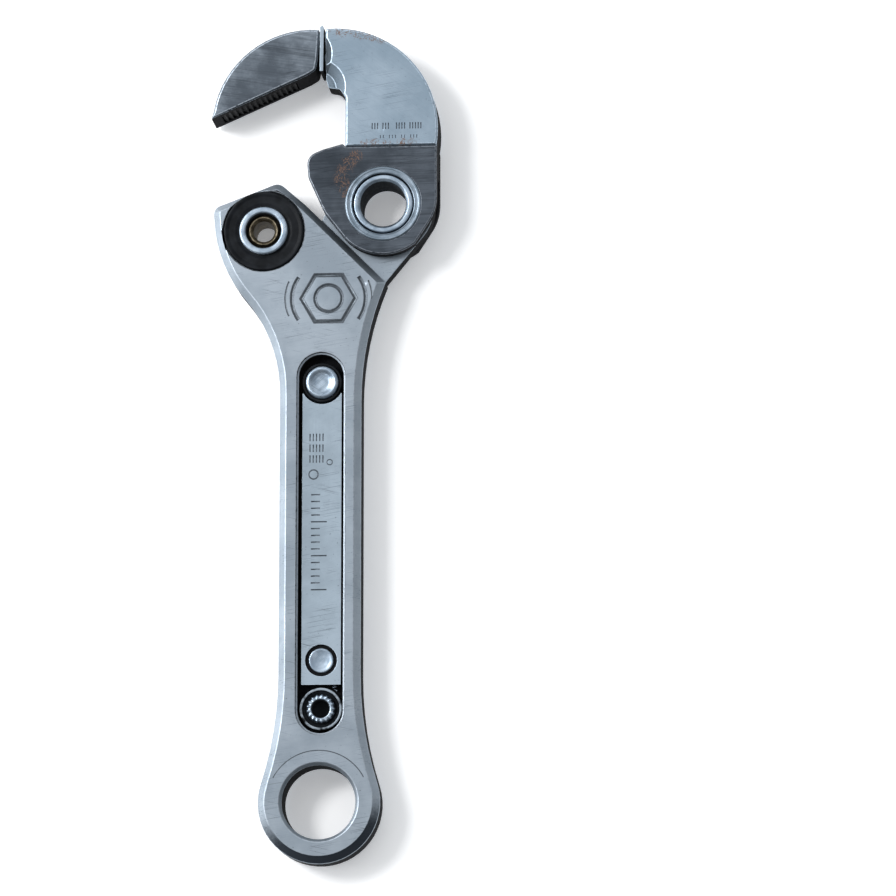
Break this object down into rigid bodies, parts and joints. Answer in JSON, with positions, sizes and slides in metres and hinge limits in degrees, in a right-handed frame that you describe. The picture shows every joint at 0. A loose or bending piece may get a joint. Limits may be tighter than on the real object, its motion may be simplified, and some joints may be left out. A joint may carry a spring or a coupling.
{
  "type": "pipe wrench",
  "caption": "Hooked pipe wrench: a flat slotted handle with a hanging eye, a pivoted hook with toothed jaw, and a spring-loaded lock slider.",
  "frame": {"origin": "centre of the wrench's bounding box in plan, on the plane that its rear face lies on", "axes": "+Y along the handle towards the jaws, +Z out of the front face, +X to the hook's side"},
  "size_m": [0.0672, 0.2488, 0.0145],
  "materials": {
    "forged_light": "forged and satin ground, pale blue-grey",
    "ground_dark": "dark, coarsely brushed along the jaw",
    "tooth_steel": "hardened, oil-blackened teeth",
    "bright_steel": "turned and polished",
    "blackened": "black oxide",
    "bronze": "dull sintered bronze"
  },
  "bodies": {
    "handle_body": {"handle": "forged_light", "pivot_tube": "bright_steel", "heel_washer_front": "blackened", "heel_washer_rear": "blackened", "heel_eyelet": "bright_steel", "heel_core_tube": "bronze", "heel_tooth_strip": "tooth_steel", "return_spring": "bright_steel", "end_washer_front": "blackened", "end_washer_rear": "blackened", "end_rivet": "bright_steel"},
    "hook": {"hook_bow": "forged_light", "jaw_tip": "ground_dark", "tip_shim": "ground_dark", "tip_dowel": "bright_steel", "tip_tooth_strip": "tooth_steel", "front_cheek": "ground_dark", "rear_cheek": "ground_dark", "stop_pin": "bright_steel", "cheek_dowel_outer": "bright_steel", "cheek_dowel_middle": "bright_steel", "cheek_dowel_inner": "bright_steel", "pivot_ring_front": "bright_steel", "pivot_ring_rear": "bright_steel"},
    "lock_slider": {"slide_bar": "forged_light", "keeper_bar": "forged_light", "guide_rivet": "bright_steel", "button_collar": "blackened", "button_spring": "bright_steel"},
    "thumb_button": {"thumb_button": "bright_steel", "button_clip": "bright_steel"}
  },
  "joints": [
    {"name": "hook_swing", "type": "hinge", "parent": "handle_body", "child": "hook", "pos_m": [0.01755, 0.06958, 0.00725], "axis": [0, 0, 1], "range_deg": [-28, 13]},
    {"name": "lock_slide", "type": "slide", "parent": "handle_body", "child": "lock_slider", "axis": [0, 1, 0], "range_m": [0, 0.002]},
    {"name": "button_press", "type": "slide", "parent": "lock_slider", "child": "thumb_button", "axis": [0, 0, -1], "range_m": [0, 0.0015], "stiffness_N_per_m": 400, "deforming": ["button_spring"]}
  ]
}
